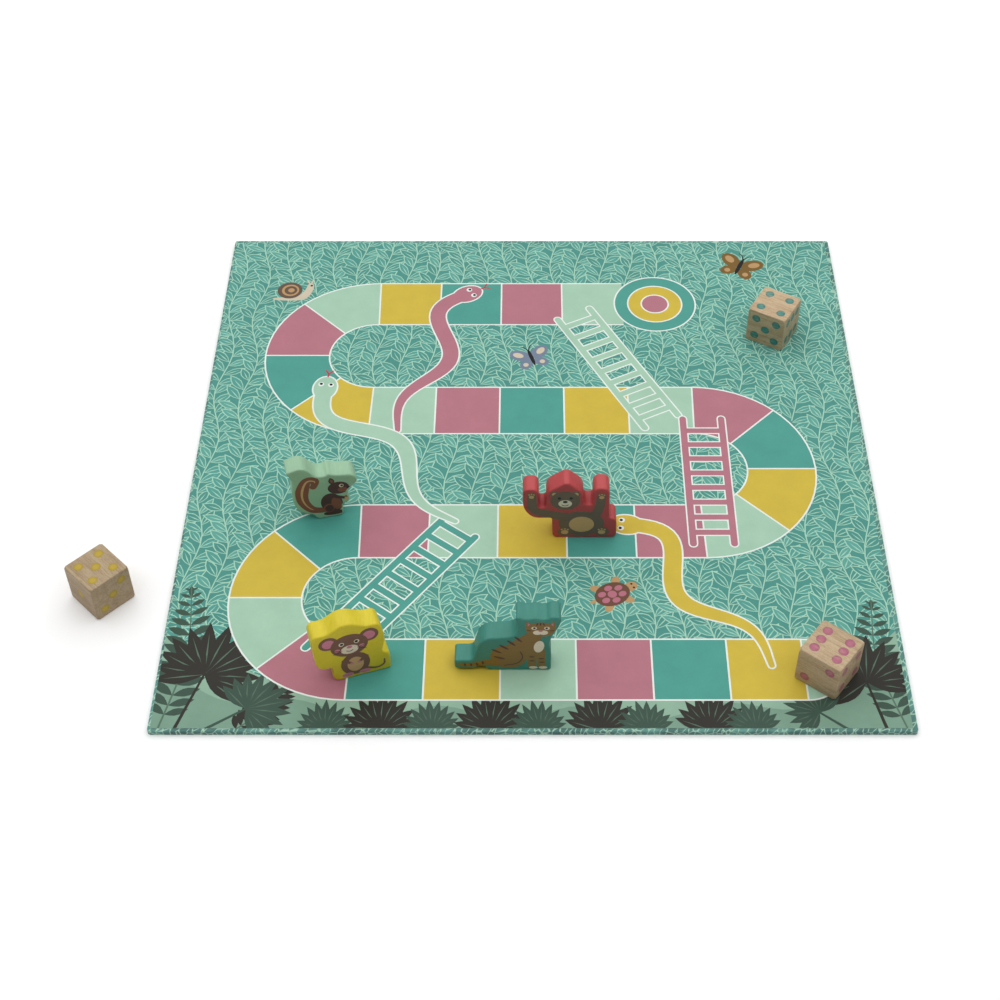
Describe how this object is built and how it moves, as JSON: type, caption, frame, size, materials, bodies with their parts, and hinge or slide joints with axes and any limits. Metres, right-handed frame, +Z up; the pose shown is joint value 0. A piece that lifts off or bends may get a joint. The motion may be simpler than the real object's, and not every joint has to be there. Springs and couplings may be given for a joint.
{
  "type": "snakes and ladders game set",
  "caption": "Flat square board game with a printed snakes and ladders track, wooden animal playing pieces standing on it and wooden dice.",
  "frame": {"origin": "centre of the board's underside, on the table", "axes": "+X to the player's right, +Y away from the player, +Z up"},
  "size_m": [0.3702, 0.325, 0.0391],
  "materials": {
    "greyboard": "matte grey board",
    "cover_paper": "satin patterned paper",
    "printed_paper": "satin printed paper",
    "mint_paint": "satin paint on wood",
    "red_paint": "satin paint on wood",
    "yellow_paint": "satin paint on wood",
    "teal_paint": "satin paint on wood",
    "pale_wood": "bare sanded wood",
    "teal_stain": "stained wood",
    "pink_stain": "stained wood",
    "yellow_stain": "stained wood"
  },
  "bodies": {
    "board": {"greyboard_core": "greyboard", "cover_wrap": "cover_paper", "face_sheet": "printed_paper"},
    "mint_piece": {"mint_piece": "mint_paint"},
    "red_piece": {"red_piece": "red_paint"},
    "yellow_piece": {"yellow_piece": "yellow_paint"},
    "teal_piece": {"teal_piece": "teal_paint"},
    "teal_die": {"teal_die": "pale_wood", "teal_die_pips": "teal_stain"},
    "pink_die": {"pink_die": "pale_wood", "pink_die_pips": "pink_stain"},
    "yellow_die": {"yellow_die": "pale_wood", "yellow_die_pips": "yellow_stain"}
  },
  "joints": [
    {"name": "mint_piece_lift", "type": "slide", "parent": "board", "child": "mint_piece", "axis": [0, 0, 1], "range_m": [0, 0.08]},
    {"name": "red_piece_lift", "type": "slide", "parent": "board", "child": "red_piece", "axis": [0, 0, 1], "range_m": [0, 0.08]},
    {"name": "yellow_piece_lift", "type": "slide", "parent": "board", "child": "yellow_piece", "axis": [0, 0, 1], "range_m": [0, 0.08]},
    {"name": "teal_piece_lift", "type": "slide", "parent": "board", "child": "teal_piece", "axis": [0, 0, 1], "range_m": [0, 0.08]},
    {"name": "teal_die_roll", "type": "hinge", "parent": "board", "child": "teal_die", "pos_m": [0.11552, 0.09185, 0.0026], "axis": [-0.5, -0.866, 0], "range_deg": [0, 89.9]},
    {"name": "pink_die_roll", "type": "hinge", "parent": "board", "child": "pink_die", "pos_m": [0.11904, -0.12639, 0.0026], "axis": [-0.6115, -0.7912, 0], "range_deg": [0, 89.9]},
    {"name": "yellow_die_roll", "type": "hinge", "parent": "board", "child": "yellow_die", "pos_m": [-0.20073, -0.07976, 0], "axis": [-0.7071, -0.7071, 0], "range_deg": [0, 89.9]}
  ]
}
